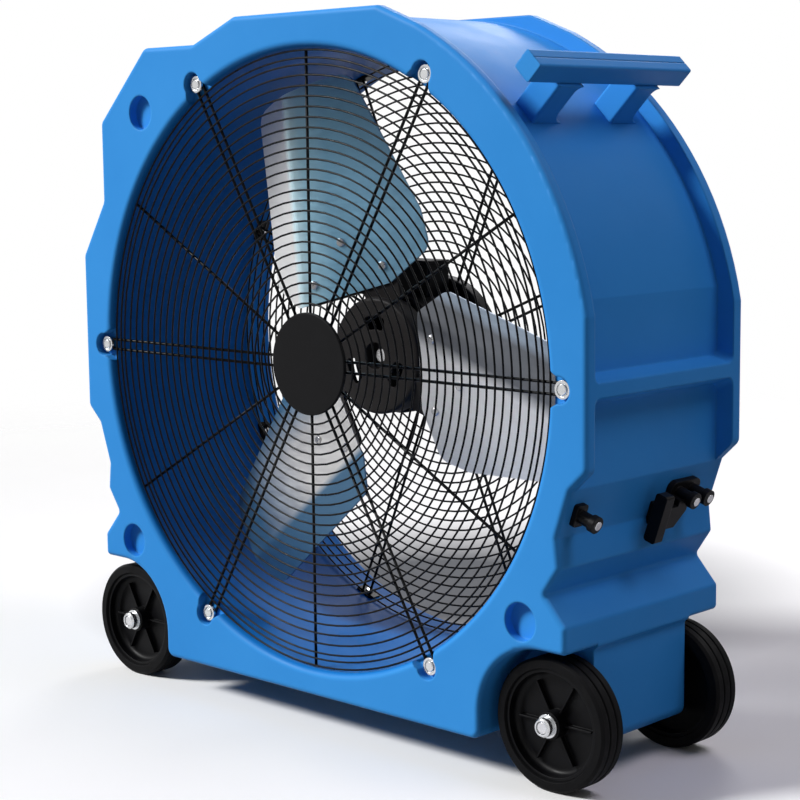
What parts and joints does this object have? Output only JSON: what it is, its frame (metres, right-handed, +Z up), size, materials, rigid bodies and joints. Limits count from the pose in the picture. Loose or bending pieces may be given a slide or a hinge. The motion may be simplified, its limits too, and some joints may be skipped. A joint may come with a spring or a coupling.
{
  "type": "drum fan",
  "caption": "Portable drum fan: a moulded blue housing on wheels with a carrying handle, wire guards, a rear-mounted motor and a pitched aluminium blade rotor.",
  "frame": {"origin": "on the floor, midway between the sides and midway between the front and rear faces", "axes": "+Z up, +X to the right seen from the front, +Y from the front face to the rear face"},
  "size_m": [0.719, 0.2384, 0.7135],
  "materials": {
    "casing_blue": "satin moulded polyethylene, fine grain",
    "handle_blue": "satin moulded plastic",
    "guard_black": "gloss black coated wire",
    "plate_charcoal": "matte powder coat",
    "fixing_zinc": "bright zinc plate",
    "blade_aluminium": "rolled sheet, fine radial grain",
    "rotor_dark": "satin black",
    "motor_dark": "satin black",
    "steel": "turned steel",
    "bearing_steel": "ground steel",
    "wheel_black": "moulded nylon",
    "bush_white": "acetal",
    "tyre_black": "matte rubber",
    "cleat_black": "moulded plastic"
  },
  "bodies": {
    "casing": {"casing": "casing_blue", "carry_handle": "handle_blue", "front_guard": "guard_black", "front_hub_plate": "plate_charcoal", "front_guard_washers": "fixing_zinc", "front_guard_screws": "fixing_zinc", "rear_guard": "guard_black", "rear_guard_screws": "fixing_zinc", "motor_mount_plate": "motor_dark", "motor_body": "motor_dark", "motor_front_shield": "motor_dark", "motor_rear_shield": "motor_dark", "motor_bearings": "bearing_steel", "motor_bolts": "fixing_zinc", "motor_nuts": "fixing_zinc", "terminal_box": "motor_dark", "terminal_box_lid": "motor_dark", "axle_left": "steel", "axle_right": "steel", "axle_spacers": "steel", "axle_washers": "fixing_zinc", "axle_nuts": "fixing_zinc", "cord_peg": "cleat_black", "cord_hook": "cleat_black", "cleat_screws": "fixing_zinc"},
    "rotor": {"motor_shaft": "steel", "rotor_hub": "rotor_dark", "blade_1": "blade_aluminium", "blade_2": "blade_aluminium", "blade_3": "blade_aluminium", "blade_rivets": "steel"},
    "wheel_front_left": {"wheel_front_left_hub": "wheel_black", "wheel_front_left_tyre": "tyre_black", "wheel_front_left_bush": "bush_white"},
    "wheel_front_right": {"wheel_front_right_hub": "wheel_black", "wheel_front_right_tyre": "tyre_black", "wheel_front_right_bush": "bush_white"},
    "wheel_rear_left": {"wheel_rear_left_hub": "wheel_black", "wheel_rear_left_tyre": "tyre_black", "wheel_rear_left_bush": "bush_white"},
    "wheel_rear_right": {"wheel_rear_right_hub": "wheel_black", "wheel_rear_right_tyre": "tyre_black", "wheel_rear_right_bush": "bush_white"}
  },
  "joints": [
    {"name": "fan_spin", "type": "hinge", "parent": "casing", "child": "rotor", "pos_m": [0, 0, 0.3715], "axis": [0, -1, 0], "continuous": true},
    {"name": "wheel_front_left_spin", "type": "hinge", "parent": "casing", "child": "wheel_front_left", "pos_m": [-0.297, -0.08905, 0.0625], "axis": [0, 1, 0], "continuous": true},
    {"name": "wheel_front_right_spin", "type": "hinge", "parent": "casing", "child": "wheel_front_right", "pos_m": [0.297, -0.08905, 0.0625], "axis": [0, 1, 0], "continuous": true},
    {"name": "wheel_rear_left_spin", "type": "hinge", "parent": "casing", "child": "wheel_rear_left", "pos_m": [-0.297, 0.08905, 0.0625], "axis": [0, 1, 0], "continuous": true},
    {"name": "wheel_rear_right_spin", "type": "hinge", "parent": "casing", "child": "wheel_rear_right", "pos_m": [0.297, 0.08905, 0.0625], "axis": [0, 1, 0], "continuous": true}
  ]
}
